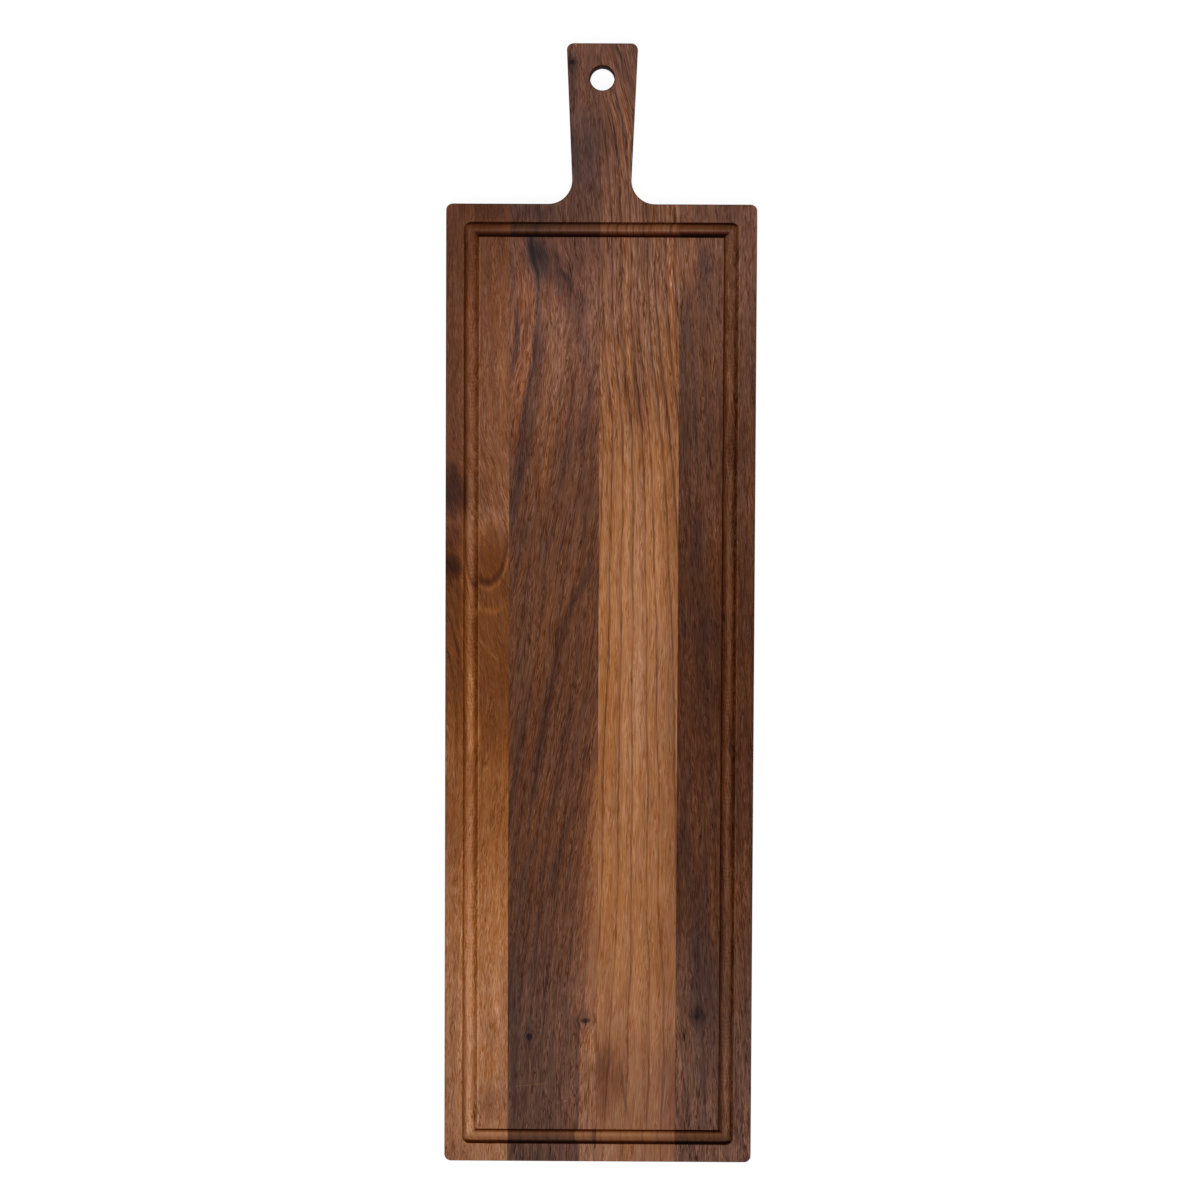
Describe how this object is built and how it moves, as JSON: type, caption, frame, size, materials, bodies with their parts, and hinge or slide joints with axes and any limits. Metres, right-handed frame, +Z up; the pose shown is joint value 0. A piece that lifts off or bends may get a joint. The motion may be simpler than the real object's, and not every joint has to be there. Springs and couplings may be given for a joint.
{
  "type": "paddle charcuterie board",
  "caption": "Long flat paddle serving board of edge-glued walnut staves, with a short flared handle, a hanging hole and a juice groove round its serving face.",
  "frame": {"origin": "centre of the board's bounding box, on its flat underside", "axes": "+Z up out of the serving face, +Y from the foot towards the handle, +X to the right when the serving face is seen with the handle at the top"},
  "size_m": [0.1962, 0.711, 0.019],
  "materials": {
    "mid_walnut": "sanded and oiled",
    "umber_walnut": "sanded and oiled",
    "golden_walnut": "sanded and oiled",
    "dark_walnut": "sanded and oiled",
    "wood_glue": "dried brown wood glue"
  },
  "bodies": {
    "root": {"left_stave": "mid_walnut", "left_centre_stave": "umber_walnut", "right_centre_stave": "golden_walnut", "right_stave": "dark_walnut", "left_glue_line": "wood_glue", "centre_glue_line": "wood_glue", "right_glue_line": "wood_glue"}
  },
  "joints": []
}
